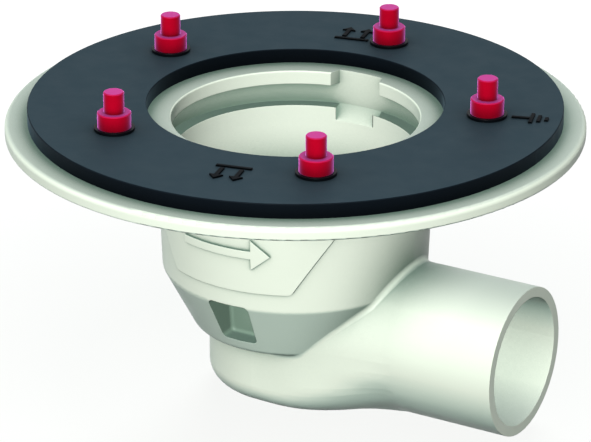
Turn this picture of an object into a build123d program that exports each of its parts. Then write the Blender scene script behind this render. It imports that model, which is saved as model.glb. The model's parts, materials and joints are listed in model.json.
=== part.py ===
from build123d import *
from math import cos, pi, radians, sin, tan
import os

# Floor drain with a side outlet, a clamp ring on five capped studs and a lift-out odour trap.
# Millimetres, +Z up. The origin is on the drum's axis, at the level of the bowl's flat underside.
# The outlet points along +X. Heights are measured up from the underside.

# Outlet spigot and bowl
outlet_r = 40.0  # outside radius, which the pipe coupling grips
outlet_reach = 138.0  # from the drum's axis to the spigot's end
spigot_wall = 5.5
bowl_r = 46.5
bowl_wall = 4.2
bowl_straight = 18.0  # straight side of the bowl, from the axis towards the outlet
bowl_corner = 12.0  # round along the bowl's lower edge
neck_end = 80.0  # where the bowl has narrowed to the spigot, from the axis
neck_steps = 3
junction_round = 3.0  # fillet where the spigot meets the drum and the cone

# Drum and cone
bore_r = 64.3
drum_wall = 6.9  # at the drum's foot
drum_draft = 2.1  # degrees
cone_top = 68.3
cone_foot = 35.5
cone_foot_r = 54.3
cone_wall = 6.0
cone_edge_round = 5.0
cone_foot_round = 5.0
collar_h = 18.0  # thickened top of the drum, round the bayonet groove
collar_slope_h = 5.0
collar_round = 8.0

# Flange
flange_r = 153.0
flange_t = 6.8
flange_top = 151.0
flange_rim_round = 2.5
flange_foot_round = 1.0

# Inlet: lip, bayonet groove and ledge over the drum's bore
lip_relief = 1.4  # how far the lip stands back from the bore
lip_t = 7.4
lip_bevel = 0.6
groove_depth = 5.9
groove_h = 12.0
groove_wall = 6.4
bayonet_count = 2
bayonet_azimuth = 90.0
bayonet_mouth = 30.0  # width at the drum's bore
bayonet_taper = 18.0  # degrees, narrower outwards

# Seat of the odour trap inside the drum
seat_z = 86.0
seat_width = 5.3

# Raised panel on the drum's front, and the pocket in the cone below it
front_azimuth = -90.0
panel_rise = 1.4
panel_foot = 79.0
panel_foot_half = 34.5
panel_flare = 31.0  # degrees from vertical
panel_corner = 3.0
pocket_half = 10.3  # at its foot
pocket_spread = 1.9  # how much further each side stands out at its top
pocket_foot = 43.3
pocket_h = 25.9
pocket_back = 48.7  # from the axis to the pocket's back wall
pocket_corner = 2.8
pocket_back_round = 2.0
pocket_wall = 5.0

# Clamp ring
ring_r = 141.0
ring_hole_r = 78.4
ring_t = 8.0
ring_bevel = 0.4

# Studs, their bosses, washers and nuts
stud_count = 5
stud_pitch_r = 102.0
stud_azimuth = 18.0
stud_r = 4.0
stud_reach = 17.5  # above the washer
stud_end_bevel = 0.6
stud_hole_floor = 3.0  # metal left under a blind stud hole
thread_gap = 0.05
boss_r = 12.0
boss_h = 8.0
ring_stud_gap = 1.0
washer_r = 10.5
washer_t = 1.6
washer_gap = 0.2
nut_flats = 13.0
nut_h = 6.8
nut_bevel = 30.0  # degrees

# Caps over the nuts
cap_gap = 0.3  # round the nut and the stud, and over both
cap_collar_wall = 0.95
cap_collar_roof = 1.1
cap_neck_wall = 1.05
cap_roof = 1.5
cap_bevel = 0.5

# Odour trap: a gasket on the seat, a funnel with a dip tube, and a cup that hangs round it.
# The dip tube stands 50 mm deep in the cup's water.
gasket_t = 2.0
gasket_gap = 0.3
rim_gap = 0.5
rim_t = 3.0
rim_overhang = 0.4  # past the seat, inwards
tube_r = 22.0
tube_wall = 2.5
funnel_drop = 6.0
hanger_drop = 8.0  # the ring that carries the cup, below the funnel's rim
hanger_ring_w = 4.0
hanger_count = 3
hanger_width = 14.0
weir_gap = 8.0  # free height over the cup's rim
cup_r = 36.0
cup_wall = 2.5
cup_lift = 3.8  # free height under the cup
cup_floor_gap = 11.5  # under the dip tube
cup_corner = 6.0
handle_spread = 2.0  # outside the dip tube
handle_t = 4.0
handle_width = 8.0

# Radii and heights that follow
drum_foot_r = bore_r + drum_wall
seat_r = bore_r - seat_width
lip_r = bore_r + lip_relief
groove_r = lip_r + groove_depth
collar_r = groove_r + groove_wall
axis_z = outlet_r
flange_foot = flange_top - flange_t
lip_foot = flange_top - lip_t
ledge_z = lip_foot - groove_h
cone_shelf = cone_foot + cone_wall
cone_slope = (drum_foot_r - cone_foot_r) / (cone_top - cone_foot)
boss_foot = flange_foot - boss_h
ring_top = flange_top + ring_t
washer_top = ring_top + washer_t
stud_top = washer_top + stud_reach
rim_foot = seat_z + gasket_t
rim_top = rim_foot + rim_t
hanger_z = rim_foot - hanger_drop
cup_rim = hanger_z - weir_gap
cup_foot = bowl_wall + cup_lift
cup_floor = cup_foot + cup_wall
tube_foot = cup_floor + cup_floor_gap
OVER = 1.0  # how far a cutting solid stands past the face it cuts
NEAR = 0.3  # how close two heights count as the same edge

FRONT = Plane(
    (0, 0, 0),
    x_dir=(-sin(radians(front_azimuth)), cos(radians(front_azimuth)), 0),
    z_dir=(cos(radians(front_azimuth)), sin(radians(front_azimuth)), 0),
)


def drum_r(z):
    """Outer radius of the drafted drum."""
    return drum_foot_r + (z - cone_top) * tan(radians(drum_draft))


def cone_inside_z(r):
    """Height at which the cone's inner face reaches a radius."""
    sideways = cone_wall * (1 + cone_slope**2) ** 0.5
    return cone_foot + (r + sideways - cone_foot_r) / cone_slope


def cone_inside_r(z):
    """Radius of the cone's inner face at a height."""
    sideways = cone_wall * (1 + cone_slope**2) ** 0.5
    return cone_foot_r + (z - cone_foot) * cone_slope - sideways


def polygon(*points):
    return make_face(Polyline(*points, close=True))


def rounded(face, *corners):
    """Round a flat profile at the vertices nearest to the given points."""
    for x, y, size in corners:
        vertex = min(face.vertices(), key=lambda v: (v.X - x) ** 2 + (v.Y - y) ** 2)
        face = fillet(vertex, size)
    return face


def turned(profile, angle=360):
    """Revolve a profile of radii and heights about the drum's axis."""
    return revolve(Plane.XZ * profile, Axis.Z, angle)


def upright(radius, foot, top):
    """A round bar on the axis between two heights."""
    return Pos(0, 0, foot) * extrude(Circle(radius), top - foot)


def stud_place(number):
    """Place of a numbered stud on the pitch circle, at height 0."""
    turn = stud_azimuth + (number - 1) * 360 / stud_count
    return Rot(0, 0, turn) * Pos(stud_pitch_r, 0, 0)


def drum_shell():
    """Outer form of the flange, collar, drum and cone, still solid."""
    collar_foot = flange_foot - collar_h
    slope_foot = collar_foot - collar_slope_h
    profile = polygon(
        (0, cone_foot),
        (cone_foot_r, cone_foot),
        (drum_foot_r, cone_top),
        (drum_r(slope_foot), slope_foot),
        (collar_r, collar_foot),
        (collar_r, flange_foot),
        (flange_r, flange_foot),
        (flange_r, flange_top),
        (0, flange_top),
    )
    profile = rounded(
        profile,
        (cone_foot_r, cone_foot, cone_foot_round),
        (drum_foot_r, cone_top, cone_edge_round),
        (collar_r, flange_foot, collar_round),
        (flange_r, flange_foot, flange_foot_round),
        (flange_r, flange_top, flange_rim_round),
    )
    return turned(profile)


def branch_section(x, half, low, floor):
    """Section across the branch at x: a half circle over a channel with rounded lower corners."""
    bend = 1 - cos(pi / 4)
    side = [
        Line((0, floor), (half - low, floor)),
        ThreePointArc((half - low, floor), (half - low * bend, floor + low * bend), (half, floor + low)),
        Line((half, floor + low), (half, axis_z)),
        ThreePointArc((half, axis_z), (half * cos(pi / 4), axis_z + half * sin(pi / 4)), (0, axis_z + half)),
    ]
    outline = Curve() + [*side, *(edge.mirror(Plane.YZ) for edge in side)]
    return Plane((x, 0, 0), x_dir=(0, 1, 0), z_dir=(1, 0, 0)) * make_face(outline)


def branch(inset, pipe_inset, reach):
    """Bowl, neck and spigot in one; with insets it is the hollow inside them."""
    pipe_r = outlet_r - pipe_inset
    wide = bowl_r - inset
    low = bowl_corner - inset
    bowl_top = cone_shelf + bowl_wall
    half_bowl = rounded(
        polygon((0, inset), (wide, inset), (wide, bowl_top), (0, bowl_top)),
        (wide, inset, low),
    )
    bowl = Rot(0, 0, 90) * turned(half_bowl, 180)
    sections = [branch_section(0, wide, low, inset)]
    for step in range(neck_steps):
        along = step / neck_steps
        blend = (1 - cos(pi * along)) / 2
        x = bowl_straight + (neck_end - bowl_straight) * along
        half = wide + (pipe_r - wide) * blend
        floor = inset + (pipe_inset - inset) * blend
        sections.append(branch_section(x, half, low + (pipe_r - low) * blend, floor))
    mouth = Plane((neck_end, 0, axis_z), x_dir=(0, 1, 0), z_dir=(1, 0, 0))
    sections.append(mouth * Circle(pipe_r))
    spigot = extrude(mouth * Circle(pipe_r), reach - neck_end)
    neck = loft(sections) - Pos(neck_end / 2, 0, inset) * Box(
        neck_end, 2 * bowl_r, bowl_corner, align=(Align.CENTER, Align.CENTER, Align.MAX)
    )
    return neck + bowl + spigot


def panel():
    """Raised trapezoid on the drum's front, wider towards the flange."""
    top = flange_foot - collar_h
    top_half = panel_foot_half + (top - panel_foot) * tan(radians(panel_flare))
    outline = rounded(
        polygon(
            (-panel_foot_half, panel_foot),
            (panel_foot_half, panel_foot),
            (top_half, top),
            (-top_half, top),
        ),
        (-panel_foot_half, panel_foot, panel_corner),
        (panel_foot_half, panel_foot, panel_corner),
    )
    low = panel_foot - OVER
    band = turned(
        polygon(
            (drum_r(low) - panel_rise, low),
            (drum_r(low) + panel_rise, low),
            (drum_r(top) + panel_rise, top),
            (drum_r(top) - panel_rise, top),
        )
    )
    return band & extrude(FRONT * outline, flange_r)


def pocket(grow, back):
    """The cone pocket's block, grown sideways, from its back wall outwards."""
    foot_half = pocket_half + grow
    top_half = foot_half + pocket_spread
    foot = pocket_foot - grow
    top = pocket_foot + pocket_h + grow
    corners = [(-foot_half, foot), (foot_half, foot), (top_half, top), (-top_half, top)]
    outline = rounded(polygon(*corners), *((x, z, pocket_corner + grow) for x, z in corners))
    block = extrude(FRONT.offset(back) * outline, drum_foot_r + OVER - back)
    inmost = min(block.faces(), key=lambda face: face.center().dot(FRONT.z_dir))
    return fillet(inmost.edges(), pocket_back_round + grow)


def bayonet_slots():
    """Slots through the lip with a ramp below each, where a top section's lugs drop in."""
    inner = bore_r - OVER
    profile = polygon(
        (inner, ledge_z - (groove_r - inner)),
        (groove_r, ledge_z),
        (groove_r, flange_top + OVER),
        (inner, flange_top + OVER),
    )
    taper = tan(radians(bayonet_taper))
    mouth = bayonet_mouth / 2 + OVER * taper
    back = bayonet_mouth / 2 - (groove_r - bore_r) * taper
    plan = polygon((inner, -mouth), (groove_r, -back), (groove_r, back), (inner, mouth))
    slot = turned(profile) & extrude(plan, flange_top + OVER)
    return [Rot(0, 0, bayonet_azimuth + n * 360 / bayonet_count) * slot for n in range(bayonet_count)]


def drain_hollow():
    """Everything that is empty inside the casting."""
    profile = polygon(
        (0, cone_shelf),
        (cone_inside_r(cone_shelf), cone_shelf),
        (seat_r, cone_inside_z(seat_r)),
        (seat_r, seat_z),
        (bore_r, seat_z),
        (bore_r, ledge_z),
        (groove_r, ledge_z),
        (groove_r, lip_foot),
        (lip_r, lip_foot),
        (lip_r, flange_top - lip_bevel),
        (lip_r + lip_bevel, flange_top),
        (lip_r + lip_bevel, flange_top + OVER),
        (0, flange_top + OVER),
    )
    hollow = turned(profile) + branch(bowl_wall, spigot_wall, outlet_reach + OVER)
    return hollow - pocket(pocket_wall, pocket_back - pocket_wall)


def drain_body():
    """The one casting: flange, drum, cone, bowl and outlet spigot."""
    shell = drum_shell()
    arm = branch(0, 0, outlet_reach)
    body = shell + arm
    seam = [e for e in new_edges(shell, arm, combined=body) if e.center().Z > cone_foot + NEAR]
    body = fillet(seam, junction_round)
    body += panel()
    stud_floor = boss_foot + stud_hole_floor
    for number in range(1, stud_count + 1):
        body += stud_place(number) * upright(boss_r, boss_foot, flange_foot)
    body -= drain_hollow()
    body -= pocket(0, pocket_back)
    for slot in bayonet_slots():
        body -= slot
    for number in range(1, stud_count + 1):
        body -= stud_place(number) * upright(stud_r + thread_gap, stud_floor, flange_top + OVER)
    return body


def clamp_ring():
    ring = upright(ring_r, flange_top, ring_top) - upright(ring_hole_r, flange_top, ring_top)
    ring = chamfer(ring.edges().filter_by(GeomType.CIRCLE), ring_bevel)
    for number in range(1, stud_count + 1):
        ring -= stud_place(number) * upright(stud_r + ring_stud_gap, flange_top, ring_top)
    return ring


def stud():
    bar = upright(stud_r, boss_foot + stud_hole_floor, stud_top)
    return chamfer(bar.edges().filter_by(GeomType.CIRCLE), stud_end_bevel)


def washer():
    return upright(washer_r, ring_top, washer_top) - upright(stud_r + washer_gap, ring_top, washer_top)


def nut():
    """Hexagon nut with both faces bevelled off its corners."""
    flat_r = nut_flats / 2
    corner_r = flat_r / cos(radians(30))
    drop = (corner_r - flat_r) * tan(radians(nut_bevel))
    top = washer_top + nut_h
    prism = Pos(0, 0, washer_top) * extrude(RegularPolygon(flat_r, 6, major_radius=False), nut_h)
    bevels = turned(
        polygon(
            (0, washer_top),
            (flat_r, washer_top),
            (corner_r, washer_top + drop),
            (corner_r, top - drop),
            (flat_r, top),
            (0, top),
        )
    )
    return (prism & bevels) - upright(stud_r + thread_gap, washer_top, top)


def cap():
    """Two-step cap: its wide collar covers the nut, its neck the stud's end."""
    nut_room = nut_flats / 2 / cos(radians(30)) + cap_gap
    stud_room = stud_r + cap_gap
    collar_r_out = nut_room + cap_collar_wall
    neck_r_out = stud_room + cap_neck_wall
    collar_roof = washer_top + nut_h + cap_gap
    neck_roof = stud_top + cap_gap
    step_z = collar_roof + cap_collar_roof
    cap_top = neck_roof + cap_roof
    outer = polygon(
        (0, washer_top),
        (collar_r_out, washer_top),
        (collar_r_out, step_z - cap_bevel),
        (collar_r_out - cap_bevel, step_z),
        (neck_r_out, step_z),
        (neck_r_out, cap_top - cap_bevel),
        (neck_r_out - cap_bevel, cap_top),
        (0, cap_top),
    )
    room = upright(nut_room, washer_top, collar_roof) + upright(stud_room, washer_top, neck_roof)
    return turned(outer) - room


def trap_gasket():
    ring = upright(bore_r - gasket_gap, seat_z, rim_foot)
    return ring - upright(seat_r + gasket_gap, seat_z, rim_foot)


def trap_funnel():
    """Funnel with a dip tube, a ring that carries the cup, and a lifting handle."""
    rim_r = bore_r - rim_gap
    dish_r = seat_r - rim_overhang
    dish_low = rim_top - funnel_drop
    handle_r = tube_r + handle_spread
    profile = polygon(
        (tube_r - tube_wall, tube_foot),
        (tube_r, tube_foot),
        (tube_r, dish_low - rim_t),
        (dish_r, rim_foot),
        (rim_r, rim_foot),
        (rim_r, rim_top),
        (dish_r, rim_top),
        (tube_r - tube_wall, dish_low),
    )
    ring = upright(cup_r, hanger_z, rim_foot) - upright(cup_r - hanger_ring_w, hanger_z, rim_foot)
    lid = turned(polygon((0, hanger_z), (tube_r, dish_low - rim_t), (dish_r, rim_foot), (dish_r, hanger_z)))
    arch = Circle(handle_r) - Circle(handle_r - handle_t)
    arch &= Pos(0, handle_r) * Rectangle(2 * handle_r, 2 * handle_r)
    handle = Plane.XZ.offset(-handle_width / 2) * arch
    handle = Pos(0, 0, dish_low) * extrude(handle, handle_width)
    return turned(profile) + (ring & lid) + handle


def trap_cup():
    """Cup that keeps the water seal, with posts up to the funnel's ring."""
    bore = cup_r - cup_wall
    outer = rounded(
        polygon((0, cup_foot), (cup_r, cup_foot), (cup_r, cup_rim), (0, cup_rim)),
        (cup_r, cup_foot, cup_corner),
    )
    inner = rounded(
        polygon((0, cup_floor), (bore, cup_floor), (bore, cup_rim + OVER), (0, cup_rim + OVER)),
        (bore, cup_floor, cup_corner - cup_wall),
    )
    cup = turned(outer) - turned(inner)
    tube = upright(cup_r, cup_rim, hanger_z) - upright(bore, cup_rim, hanger_z)
    for n in range(hanger_count):
        blade = Pos(cup_r, 0, cup_rim + weir_gap / 2) * Box(4 * cup_wall, hanger_width, weir_gap)
        cup += tube & (Rot(0, 0, n * 360 / hanger_count) * blade)
    return cup


def save(solid, name):
    solid.label = name
    export_step(solid, f"parts/{name}.step")


os.makedirs("parts", exist_ok=True)
save(drain_body(), "drain_body")
save(clamp_ring(), "clamp_ring")
save(trap_gasket(), "trap_gasket")
save(trap_funnel(), "trap_funnel")
save(trap_cup(), "trap_cup")
for number in range(1, stud_count + 1):
    for name, make in (("stud", stud), ("washer", washer), ("nut", nut), ("cap", cap)):
        save(stud_place(number) * make(), f"{name}_{number}")
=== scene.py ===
"""Looks for the floor drain: materials, raised marks, stud threads, floor, light and camera.

Metres, in the CAD's frame: +Z up the drum's axis, +X along the outlet, underside at height 0.
"""

import json
import math

import bmesh
import bpy
from mathutils import Matrix, Vector


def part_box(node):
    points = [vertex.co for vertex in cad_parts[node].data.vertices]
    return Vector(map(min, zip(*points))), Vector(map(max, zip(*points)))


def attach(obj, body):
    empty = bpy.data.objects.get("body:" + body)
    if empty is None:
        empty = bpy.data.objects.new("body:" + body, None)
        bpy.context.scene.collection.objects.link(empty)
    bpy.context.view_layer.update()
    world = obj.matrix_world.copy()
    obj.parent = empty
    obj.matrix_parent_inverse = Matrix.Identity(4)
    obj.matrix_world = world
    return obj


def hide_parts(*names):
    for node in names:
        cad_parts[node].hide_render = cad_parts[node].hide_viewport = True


MM = 0.001

# Camera, fitted to the photograph; angles in degrees, with azimuth 0 at -Y
VIEW_AZIMUTH = 30.2
VIEW_ELEVATION = 23.02
VIEW_DISTANCE = 1.8948
AIM_HEIGHT = 0.0902
SENSOR_WIDTH = 36.0
LENS = 216.3
CLIP_END = 50.0

# Lamps: name, azimuth, elevation, size, power, colour, casts shadows, shows in gloss
LAMPS = (
    ("key", 22.0, 38.0, 0.7, 76.0, (1.0, 0.99, 0.95), False, True),
    ("side", -108.0, 2.0, 1.0, 20.0, (0.85, 1.0, 1.0), False, False),
    ("back", 200.0, 20.0, 1.2, 26.0, (0.92, 1.0, 0.98), True, False),
    ("top", 24.0, 84.0, 1.4, 3.5, (0.92, 1.0, 0.98), True, False),
)
LAMP_DISTANCE = 2.4
SKY_COLOUR = (0.45, 1.0, 0.95)
SKY_STRENGTH = 0.05

# Floor: glow evens out the shadow, in part out to the first radius and in full from the second on
FLOOR_HALF = 12.0
FLOOR_PLAIN = 0.12
FLOOR_WHITE = 0.48
FLOOR_PART = 0.5
FLOOR_GLOW = 1.1
FLOOR_SEEN = (0.8, 0.8, 0.8)
FLOOR_BOUNCE = (0.05, 0.05, 0.05)

# Painted shade in recesses: how near surfaces shade each other, and how open they are where the
# shade is full or gone
RECESS = 30.0 * MM
CREVICE = 12.0 * MM
SHUT = 0.6
OPEN = 0.975
SHADE_SAMPLES = 12

# On the casting the reach of that painted shade grows along the outlet, between two places on X
OUTLET_RECESS = 43.0 * MM
OUTLET_START = 0.02
OUTLET_REACH = 0.06

# Heights of the surface's normal between which a painted tone for upper or lower faces comes in:
# painted shade and reflection on top, painted shade below, painted sheen on the caps' tops
PAINTED_TOP_FACES = (0.7, 1.0)
PAINTED_UNDER_FACES = (-0.1, -0.6)
PAINTED_SHEEN_FACES = (0.6, 0.95)

# Coats: noise in cycles per metre, spread of the roughness and strength of the bump
COAT_DRIFT = 14.0
COAT_GLOSS = 90.0
COAT_GLOSS_SPREAD = 0.05
COAT_BUMP = 0.35

# Plastic and rubber
PLASTIC_DRIFT = 120.0
PLASTIC_DARKER = 0.86
# Painted shade tone in crevices
PLASTIC_PAINTED_SHADE = (0.35, 0.35, 0.35)
PLASTIC_GRAIN = 2600.0
PLASTIC_BUMP = 0.3

# Plated steel
STEEL_DRIFT = 300.0
STEEL_DARKER = 0.7
STEEL_GLOSS = 900.0
STEEL_SMOOTHER = 0.08
STEEL_ROUGHER = 0.12
STEEL_SCRATCH = 1800.0
STEEL_BUMP = 0.25

FINE_DEPTH = 0.02 * MM
EDGE_SAMPLES = 8

# Angles from which an edge is shaded sharp
SHARP = 32.0
THREAD_SHARP = 75.0

# Studs' coarse M8 thread: rows to a turn, and sides round it
THREAD_PITCH = 1.25 * MM
THREAD_DEPTH = 0.7 * MM
THREAD_ROWS = 6
THREAD_SIDES = 36

# Raised marks
MARK_RISE = 0.9 * MM
MARK_BEVEL = 0.15 * MM
MARK_LINE = 1.9 * MM
SUNK = 0.6 * MM
HEAD_SHAPE = 0.62  # an arrow head's length over its width
TINY = 1e-6

# Earth symbol on the clamp ring
EARTH_AZIMUTH = 18.0
EARTH_RADIUS = 124.5 * MM
EARTH_STEM = 9.5 * MM
EARTH_BARS = (13.0 * MM, 8.6 * MM, 4.4 * MM)
EARTH_STEP = 3.9 * MM

# Marks for the side that goes up, on the clamp ring: names, and angles from +X
UP_MARKS = (("up_mark_back", 102.0), ("up_mark_front", 282.0))
UP_RADIUS = 108.0 * MM
UP_BAR = 19.0 * MM
UP_BAR_X = -9.5 * MM
UP_ARROW = 14.0 * MM
UP_ARROW_LINE = 1.2 * MARK_LINE
UP_ARROW_HEAD = 7.4 * MM
UP_ARROW_X = 0.5 * MM
UP_ARROW_Y = 5.2 * MM

# Flow arrow on the drum's front panel, cut into narrow strips to bend round it
FRONT = math.radians(-90.0)
RAY_START = 0.2
ARROW_HEIGHT = 101.0 * MM
ARROW_LENGTH = 52.0 * MM
ARROW_LINE = 4.6 * MM
ARROW_HEAD = 17.0 * MM
ARROW_RISE = 1.3 * MM
ARROW_BEVEL = 2 * MARK_BEVEL
ARROW_CUTS = 24  # to each side of its middle
LAST_CUT = 0.999  # share of the half length, so that no cut lies on an end face


def emptied(owner):
    """Nodes and links of a material or world, with no node left."""
    owner.use_nodes = True
    owner.node_tree.nodes.clear()
    return owner.node_tree.nodes, owner.node_tree.links


def feed(links, socket, value):
    """Feed a socket from a node's output, a colour or a number."""
    if isinstance(value, bpy.types.NodeSocket):
        links.new(value, socket)
    elif isinstance(value, tuple):
        socket.default_value = (*value, 1)
    else:
        socket.default_value = value


def principled(name, colour, roughness, **sockets):
    """A Principled material whose plain values sit on the shader's own sockets."""
    material = bpy.data.materials.new(name)
    nodes, links = emptied(material)
    output = nodes.new("ShaderNodeOutputMaterial")
    shader = nodes.new("ShaderNodeBsdfPrincipled")
    shader.inputs["Base Color"].default_value = (*colour, 1)
    shader.inputs["Roughness"].default_value = roughness
    for socket, value in sockets.items():
        feed(links, shader.inputs[socket.replace("_", " ")], value)
    links.new(shader.outputs["BSDF"], output.inputs["Surface"])
    return material, nodes, links, shader


def noise(nodes, links, scale, detail=3.0, rough=0.5):
    """Noise in the piece's own coordinates, with its scale in cycles per metre."""
    place = nodes.new("ShaderNodeTexCoord")
    texture = nodes.new("ShaderNodeTexNoise")
    texture.inputs["Scale"].default_value = scale
    texture.inputs["Detail"].default_value = detail
    texture.inputs["Roughness"].default_value = rough
    links.new(place.outputs["Object"], texture.inputs["Vector"])
    return texture.outputs["Fac"]


def ranged(nodes, links, value, low=0.0, high=1.0, start=0.3, end=0.7):
    """Spread the part of a value between start and end over a range."""
    spread = nodes.new("ShaderNodeMapRange")
    spread.inputs["From Min"].default_value = start
    spread.inputs["From Max"].default_value = end
    spread.inputs["To Min"].default_value = low
    spread.inputs["To Max"].default_value = high
    links.new(value, spread.inputs["Value"])
    return spread.outputs["Result"]


def mixed(nodes, links, factor, first, second, blend="MIX"):
    """Mix of two colours by a factor, each of them plain or from a node."""
    mix = nodes.new("ShaderNodeMix")
    mix.data_type = "RGBA"
    mix.blend_type = blend
    feed(links, mix.inputs["Factor"], factor)
    feed(links, mix.inputs["A"], first)
    feed(links, mix.inputs["B"], second)
    return mix.outputs["Result"]


def combined(nodes, links, operation, first, second):
    """One value from two by an operation."""
    node = nodes.new("ShaderNodeMath")
    node.operation = operation
    links.new(first, node.inputs[0])
    links.new(second, node.inputs[1])
    return node.outputs["Value"]


def axis_of(nodes, links, kind, axis):
    """One axis of a kind of the piece's own coordinates, such as its normals."""
    source = nodes.new("ShaderNodeTexCoord")
    parts = nodes.new("ShaderNodeSeparateXYZ")
    links.new(source.outputs[kind], parts.inputs["Vector"])
    return parts.outputs[axis]


def facing(nodes, links, colour, tone, heights):
    """Painted light and shade: turn a colour to a tone as the height of the surface's normal goes
    through a range.
    """
    height = axis_of(nodes, links, "Normal", "Z")
    factor = ranged(nodes, links, height, start=heights[0], end=heights[1])
    return mixed(nodes, links, factor, colour, tone)


def outlet_shade_reach(nodes, links):
    """How near surfaces give each other painted shade: farther along the outlet than at the drum."""
    along = axis_of(nodes, links, "Object", "X")
    return ranged(nodes, links, along, RECESS, OUTLET_RECESS, OUTLET_START, OUTLET_REACH)


def paint_recess_shade(nodes, links, colour, distance, painted_shade_tone):
    """Painted shade: darken a colour where the surface is shut in by others nearer than a distance.
    """
    near = nodes.new("ShaderNodeAmbientOcclusion")
    near.samples = SHADE_SAMPLES
    feed(links, near.inputs["Distance"], distance)
    open_part = ranged(nodes, links, near.outputs["AO"], start=SHUT, end=OPEN)
    tone = mixed(nodes, links, open_part, painted_shade_tone, (1.0, 1.0, 1.0))
    return mixed(nodes, links, 1.0, colour, tone, "MULTIPLY")


def bumped(nodes, links, shader, height, depth, strength, edge):
    """Feed the shader's normal from a height, over edges rounded by a radius."""
    bevel = nodes.new("ShaderNodeBevel")
    bevel.samples = EDGE_SAMPLES
    bevel.inputs["Radius"].default_value = edge
    bump = nodes.new("ShaderNodeBump")
    bump.inputs["Strength"].default_value = strength
    bump.inputs["Distance"].default_value = depth
    links.new(height, bump.inputs["Height"])
    links.new(bevel.outputs["Normal"], bump.inputs["Normal"])
    links.new(bump.outputs["Normal"], shader.inputs["Normal"])


def coating(
    name,
    pale,
    shade,
    roughness,
    grain,
    depth,
    edge,
    painted_shade_tone,
    painted_top_tone=None,
    painted_under_shade=None,
    outlet=False,
    **sockets,
):
    """Coated cast iron: two close tones, a painted tone on top faces, painted cool shade below,
    painted shade in recesses, a cast grain, soft edges.
    """
    material, nodes, links, shader = principled(name, pale, roughness, **sockets)
    drift = ranged(nodes, links, noise(nodes, links, COAT_DRIFT))
    colour = mixed(nodes, links, drift, pale, shade)
    # Painted light and shade by which way a face looks: a tone on faces that look up, a cool shade
    # on faces that look down
    if painted_top_tone:
        colour = facing(nodes, links, colour, painted_top_tone, PAINTED_TOP_FACES)
    if painted_under_shade:
        colour = facing(nodes, links, colour, painted_under_shade, PAINTED_UNDER_FACES)
    # Painted shade where near surfaces shut the casting in, reaching farther inside the outlet if
    # asked
    distance = outlet_shade_reach(nodes, links) if outlet else RECESS
    links.new(paint_recess_shade(nodes, links, colour, distance, painted_shade_tone), shader.inputs["Base Color"])
    low, high = roughness - COAT_GLOSS_SPREAD, roughness + COAT_GLOSS_SPREAD
    gloss = ranged(nodes, links, noise(nodes, links, COAT_GLOSS), low, high)
    links.new(gloss, shader.inputs["Roughness"])
    cast = noise(nodes, links, grain, detail=5.0, rough=0.6)
    bumped(nodes, links, shader, cast, depth, COAT_BUMP, edge)
    return material


def moulded(name, colour, roughness, edge, painted_top_sheen=None, **sockets):
    """Moulded plastic or rubber with a fine grain, soft edges, painted shade in crevices and, if
    asked, a painted sheen on upper faces.
    """
    material, nodes, links, shader = principled(name, colour, roughness, **sockets)
    darker = tuple(PLASTIC_DARKER * c for c in colour)
    drift = ranged(nodes, links, noise(nodes, links, PLASTIC_DRIFT))
    tone = mixed(nodes, links, drift, colour, darker)
    # Painted sheen on upper faces
    if painted_top_sheen:
        tone = facing(nodes, links, tone, painted_top_sheen, PAINTED_SHEEN_FACES)
    # Painted shade in crevices
    tone = paint_recess_shade(nodes, links, tone, CREVICE, PLASTIC_PAINTED_SHADE)
    links.new(tone, shader.inputs["Base Color"])
    grain = noise(nodes, links, PLASTIC_GRAIN, detail=2.0)
    bumped(nodes, links, shader, grain, FINE_DEPTH, PLASTIC_BUMP, edge)
    return material


def steel(name, colour, roughness, edge):
    """Zinc-plated steel with uneven gloss and fine scratches."""
    material, nodes, links, shader = principled(name, colour, roughness, Metallic=1.0)
    darker = tuple(STEEL_DARKER * c for c in colour)
    drift = ranged(nodes, links, noise(nodes, links, STEEL_DRIFT, detail=4.0))
    links.new(mixed(nodes, links, drift, colour, darker), shader.inputs["Base Color"])
    low, high = roughness - STEEL_SMOOTHER, roughness + STEEL_ROUGHER
    gloss = ranged(nodes, links, noise(nodes, links, STEEL_GLOSS), low, high)
    links.new(gloss, shader.inputs["Roughness"])
    scratch = noise(nodes, links, STEEL_SCRATCH)
    bumped(nodes, links, shader, scratch, FINE_DEPTH, STEEL_BUMP, edge)
    return material


def paint(node, material):
    """Give a CAD node or piece one material."""
    node.data.materials.clear()
    node.data.materials.append(material)


def smooth(node, sharp):
    """Shade a node smooth between the edges sharper than an angle in degrees."""
    for polygon in node.data.polygons:
        polygon.use_smooth = True
    node.data.set_sharp_from_angle(angle=math.radians(sharp))


def added(name, data):
    """A new object in the scene."""
    piece = bpy.data.objects.new(name, data)
    bpy.context.scene.collection.objects.link(piece)
    return piece


def from_build(name, build):
    """A new mesh object from a finished bmesh."""
    mesh = bpy.data.meshes.new(name)
    build.to_mesh(mesh)
    build.free()
    return added(name, mesh)


def prism(name, outlines, low, high, bevel):
    """Solid of flat outlines extruded from one height to another, with a bevelled top."""
    build = bmesh.new()
    for outline in outlines:
        face = build.faces.new([build.verts.new((x, y, low)) for x, y in outline])
        grown = bmesh.ops.extrude_face_region(build, geom=[face])
        lifted = [v for v in grown["geom"] if isinstance(v, bmesh.types.BMVert)]
        bmesh.ops.translate(build, vec=(0, 0, high - low), verts=lifted)
    bmesh.ops.recalc_face_normals(build, faces=build.faces)
    top = [e for e in build.edges if all(v.co.z > high - TINY for v in e.verts)]
    bmesh.ops.bevel(build, geom=top, offset=bevel, segments=2, profile=0.5, affect="EDGES")
    return from_build(name, build)


def box_outline(x, y, width, height):
    """Rectangle with its middle at (x, y)."""
    return [
        (x - width / 2, y - height / 2),
        (x + width / 2, y - height / 2),
        (x + width / 2, y + height / 2),
        (x - width / 2, y + height / 2),
    ]


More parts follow.
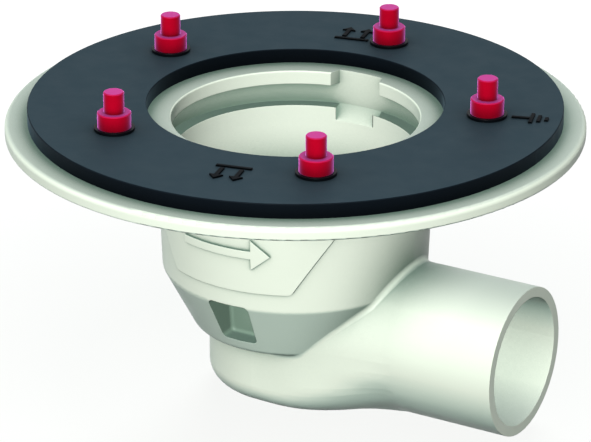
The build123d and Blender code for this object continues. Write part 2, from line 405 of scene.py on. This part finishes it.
def arrow_outline(length, line, head, x=0.0, y=0.0):
    """Arrow along +x with its middle at (x, y)."""
    neck = length / 2 - head * HEAD_SHAPE
    points = [
        (-length / 2, -line / 2),
        (neck, -line / 2),
        (neck, -head / 2),
        (length / 2, 0),
        (neck, head / 2),
        (neck, line / 2),
        (-length / 2, line / 2),
    ]
    return [(x + px, y + py) for px, py in points]


def ring_mark(name, outlines, azimuth, radius):
    """Raised mark on the clamp ring's top, at an angle in degrees from +X."""
    ring_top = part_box("clamp_ring")[1].z
    piece = prism(name, outlines, ring_top - SUNK / 2, ring_top + MARK_RISE, MARK_BEVEL)
    turn = Matrix.Rotation(math.radians(azimuth), 4, "Z")
    piece.data.transform(turn @ Matrix.Translation((radius, 0, 0)))
    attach(piece, "drain")
    return piece


def earth_mark():
    """Protective-earth symbol: a stem and three bars that shrink outwards."""
    outlines = [box_outline(-EARTH_STEM / 2, 0, EARTH_STEM, MARK_LINE)]
    for step, length in enumerate(EARTH_BARS):
        outlines.append(box_outline(MARK_LINE / 2 + step * EARTH_STEP, 0, MARK_LINE, length))
    return ring_mark("earth_mark", outlines, EARTH_AZIMUTH, EARTH_RADIUS)


def this_side_up(name, azimuth):
    """Two arrows over a bar, the usual sign for the face that goes up."""
    outlines = [box_outline(UP_BAR_X, 0, MARK_LINE, UP_BAR)]
    for y in (-UP_ARROW_Y, UP_ARROW_Y):
        outlines.append(arrow_outline(UP_ARROW, UP_ARROW_LINE, UP_ARROW_HEAD, UP_ARROW_X, y))
    return ring_mark(name, outlines, azimuth, UP_RADIUS)


def panel_radius(body, height):
    """Radius at which a ray from the front meets the panel's face."""
    out = Vector((math.cos(FRONT), math.sin(FRONT), 0))
    start = out * RAY_START + Vector((0, 0, height))
    place = body.ray_cast(start, -out)[1]
    return place.xy.length


def flow_arrow(body):
    """Raised arrow on the drum's panel, bent round the drum, pointing to the outlet."""
    outline = arrow_outline(ARROW_LENGTH, ARROW_LINE, ARROW_HEAD)
    piece = prism("flow_arrow", [outline], -SUNK, ARROW_RISE, ARROW_BEVEL)
    build = bmesh.new()
    build.from_mesh(piece.data)
    for cut in range(-ARROW_CUTS, ARROW_CUTS + 1):
        bmesh.ops.bisect_plane(
            build,
            geom=build.verts[:] + build.edges[:] + build.faces[:],
            plane_co=(cut / ARROW_CUTS * ARROW_LENGTH / 2 * LAST_CUT, 0, 0),
            plane_no=(1, 0, 0),
        )
    middle_radius = panel_radius(body, ARROW_HEIGHT)
    for vertex in build.verts:
        height = ARROW_HEIGHT + vertex.co.y
        radius = panel_radius(body, height) + vertex.co.z
        angle = FRONT + vertex.co.x / middle_radius
        vertex.co = Vector((radius * math.cos(angle), radius * math.sin(angle), height))
    bmesh.ops.recalc_face_normals(build, faces=build.faces)
    build.to_mesh(piece.data)
    build.free()
    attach(piece, "drain")
    return piece


def threaded(name):
    """Threaded bar with bevelled ends that stands for a plain CAD stud."""
    foot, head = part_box(name)
    low, high = foot.z, head.z
    radius = (head.x - foot.x) / 2
    middle = (foot + head) / 2
    build = bmesh.new()
    rows = []
    steps = round((high - low) / THREAD_PITCH * THREAD_ROWS)
    for step in range(steps + 1):
        height = low + (high - low) * step / steps
        room = radius - THREAD_DEPTH + min(height - low, high - height)
        row = []
        for side in range(THREAD_SIDES):
            turn = side / THREAD_SIDES
            phase = ((height - low) / THREAD_PITCH - turn) % 1.0
            reach = min(radius - THREAD_DEPTH * abs(2 * phase - 1), room)
            angle = 2 * math.pi * turn
            row.append(build.verts.new((reach * math.cos(angle), reach * math.sin(angle), height)))
        rows.append(row)
    for lower, upper in zip(rows, rows[1:]):
        for side in range(THREAD_SIDES):
            other = (side + 1) % THREAD_SIDES
            build.faces.new((lower[side], lower[other], upper[other], upper[side]))
    build.faces.new(rows[0][::-1])
    build.faces.new(rows[-1])
    bmesh.ops.recalc_face_normals(build, faces=build.faces)
    bmesh.ops.translate(build, vec=(middle.x, middle.y, 0), verts=build.verts)
    thread = from_build(name + "_thread", build)
    smooth(thread, THREAD_SHARP)
    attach(thread, "drain")
    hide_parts(name)
    return thread


def direction(azimuth, elevation):
    """Unit vector from the drain towards a view or lamp, from angles in degrees."""
    azimuth, elevation = math.radians(azimuth), math.radians(elevation)
    level = math.cos(elevation)
    return Vector((math.sin(azimuth) * level, -math.cos(azimuth) * level, math.sin(elevation)))


def aimed(name, data, azimuth, elevation, distance):
    """A new camera or lamp that faces the drain's middle."""
    holder = added(name, data)
    back = direction(azimuth, elevation)
    holder.location = Vector((0, 0, AIM_HEIGHT)) + back * distance
    holder.rotation_euler = (-back).to_track_quat("-Z", "Y").to_euler()
    return holder


def area_lamp(name, azimuth, elevation, size, power, colour, shadow, gloss):
    """Square soft box that faces the drain."""
    lamp = bpy.data.lights.new(name, "AREA")
    lamp.size = size
    lamp.energy = power
    lamp.color = colour
    lamp.use_shadow = shadow
    holder = aimed(name, lamp, azimuth, elevation, LAMP_DISTANCE)
    holder.visible_camera = False
    holder.visible_glossy = gloss


def seen(nodes, links):
    """1 for rays from the camera, a reflection or clear glass, 0 for the rays that light things."""
    path = nodes.new("ShaderNodeLightPath")
    total = path.outputs["Is Camera Ray"]
    for kind in ("Is Glossy Ray", "Is Transmission Ray"):
        total = combined(nodes, links, "MAXIMUM", total, path.outputs[kind])
    return total


def shown_mix(nodes, links, factor, first, second, output):
    """Show a mix of two shaders by a factor."""
    mix = nodes.new("ShaderNodeMixShader")
    links.new(factor, mix.inputs["Fac"])
    links.new(first.outputs[0], mix.inputs[1])
    links.new(second.outputs[0], mix.inputs[2])
    links.new(mix.outputs["Shader"], output.inputs["Surface"])


def floor():
    """Pale floor that shows white to the camera and keeps a soft shadow round the drain."""
    mesh = bpy.data.meshes.new("floor")
    half = FLOOR_HALF
    corners = [(-half, -half, 0), (half, -half, 0), (half, half, 0), (-half, half, 0)]
    mesh.from_pydata(corners, [], [(0, 1, 2, 3)])
    piece = added("floor", mesh)
    material = bpy.data.materials.new("floor_paint")
    nodes, links = emptied(material)
    output = nodes.new("ShaderNodeOutputMaterial")
    shown = seen(nodes, links)
    diffuse = nodes.new("ShaderNodeBsdfDiffuse")
    links.new(mixed(nodes, links, shown, FLOOR_BOUNCE, FLOOR_SEEN), diffuse.inputs["Color"])
    glow = nodes.new("ShaderNodeEmission")
    glow.inputs["Strength"].default_value = FLOOR_GLOW
    place = nodes.new("ShaderNodeTexCoord")
    away = nodes.new("ShaderNodeVectorMath")
    away.operation = "LENGTH"
    links.new(place.outputs["Object"], away.inputs[0])
    radius = away.outputs["Value"]
    part = ranged(nodes, links, radius, FLOOR_PART, 1.0, FLOOR_PLAIN, FLOOR_WHITE)
    share = combined(nodes, links, "MULTIPLY", shown, part)
    shown_mix(nodes, links, share, diffuse, glow, output)
    paint(piece, material)
    # The floor doesn't count as a surface that shuts in the drain's underside
    piece.visible_shadow = False


def sky():
    """White to the camera, an even soft light to the object."""
    world = bpy.data.worlds.new("sky")
    bpy.context.scene.world = world
    nodes, links = emptied(world)
    soft = nodes.new("ShaderNodeBackground")
    soft.inputs["Color"].default_value = (*SKY_COLOUR, 1)
    soft.inputs["Strength"].default_value = SKY_STRENGTH
    white = nodes.new("ShaderNodeBackground")
    output = nodes.new("ShaderNodeOutputWorld")
    shown_mix(nodes, links, seen(nodes, links), soft, white, output)


def camera():
    """Camera at the photograph's angle."""
    view = bpy.data.cameras.new("view")
    view.sensor_width = SENSOR_WIDTH
    view.lens = LENS
    view.clip_end = CLIP_END
    bpy.context.scene.camera = aimed("view", view, VIEW_AZIMUTH, VIEW_ELEVATION, VIEW_DISTANCE)


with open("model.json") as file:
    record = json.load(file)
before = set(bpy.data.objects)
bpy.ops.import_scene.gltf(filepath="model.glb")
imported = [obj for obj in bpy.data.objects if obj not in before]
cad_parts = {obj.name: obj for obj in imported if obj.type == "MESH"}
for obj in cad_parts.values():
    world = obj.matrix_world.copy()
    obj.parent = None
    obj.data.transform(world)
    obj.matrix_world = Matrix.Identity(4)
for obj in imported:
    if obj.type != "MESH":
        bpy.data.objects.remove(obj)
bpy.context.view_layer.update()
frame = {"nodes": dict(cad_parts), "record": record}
bpy.context.scene.view_settings.view_transform = "Standard"

materials = {
    "body_coating": coating(
        "pale_coat",
        pale=(0.80, 0.88, 0.775),
        shade=(0.78, 0.86, 0.755),
        roughness=0.42,
        grain=420.0,
        depth=0.05 * MM,
        edge=0.5 * MM,
        # Painted shade in recesses and deeper inside the outlet, a darker painted tone on top faces
        # and a cool painted shade on faces below
        painted_shade_tone=(0.22, 0.30, 0.27),
        painted_top_tone=(0.53, 0.60, 0.55),
        painted_under_shade=(0.62, 0.81, 0.72),
        outlet=True,
        Specular_IOR_Level=0.25,
    ),
    "ring_coating": coating(
        "dark_coat",
        pale=(0.0045, 0.008, 0.0125),
        shade=(0.0035, 0.0065, 0.0105),
        roughness=0.55,
        grain=700.0,
        depth=0.03 * MM,
        edge=0.4 * MM,
        # Painted shade in recesses, and a lighter painted reflection on the ring's top face
        painted_shade_tone=(0.3, 0.3, 0.3),
        painted_top_tone=(0.026, 0.044, 0.058),
        IOR=1.2,
        Specular_IOR_Level=0.15,
        Sheen_Weight=0.08,
        Sheen_Roughness=0.35,
        Sheen_Tint=(0.45, 0.76, 1.0),
    ),
    "mark": coating(
        "black_coat",
        pale=(0.0018, 0.0032, 0.0048),
        shade=(0.0015, 0.0027, 0.0042),
        roughness=0.5,
        grain=700.0,
        depth=0.03 * MM,
        edge=0.25 * MM,
        # Painted shade in recesses
        painted_shade_tone=(0.3, 0.3, 0.3),
        IOR=1.2,
        Specular_IOR_Level=0.15,
    ),
    "gasket_rubber": moulded("black_rubber", (0.012, 0.012, 0.013), roughness=0.6, edge=0.3 * MM),
    "trap_plastic": moulded("grey_plastic", (0.33, 0.35, 0.36), roughness=0.38, edge=0.5 * MM),
    "fastener_steel": steel("plated_steel", (0.62, 0.62, 0.6), roughness=0.32, edge=0.15 * MM),
    "washer_black": moulded(
        "black_washer",
        (0.004, 0.006, 0.009),
        roughness=0.35,
        edge=0.3 * MM,
        IOR=1.3,
        Specular_IOR_Level=0.2,
    ),
    "cap_red": moulded(
        "red_plastic",
        (0.50, 0.0005, 0.018),
        roughness=0.4,
        edge=0.3 * MM,
        # Painted sheen on the caps' upper faces
        painted_top_sheen=(0.53, 0.03, 0.21),
        IOR=1.2,
        Specular_IOR_Level=0.15,
        Sheen_Weight=1.0,
        Sheen_Roughness=0.35,
        Sheen_Tint=(1.0, 0.26, 1.0),
    ),
}
slots = {s["node"]: s["material_slot"] for s in frame["record"]["subparts"]}
for name, node in frame["nodes"].items():
    paint(node, materials[slots[name]])
    smooth(node, SHARP)
    # The photograph shows no light bounced from surface to surface
    node.visible_diffuse = False

for name in [n for n in frame["nodes"] if n.startswith("stud_")]:
    paint(threaded(name), materials["fastener_steel"])
paint(earth_mark(), materials["mark"])
for name, azimuth in UP_MARKS:
    paint(this_side_up(name, azimuth), materials["mark"])
paint(flow_arrow(frame["nodes"]["drain_body"]), materials["body_coating"])

for lamp in LAMPS:
    area_lamp(*lamp)
sky()
floor()
camera()
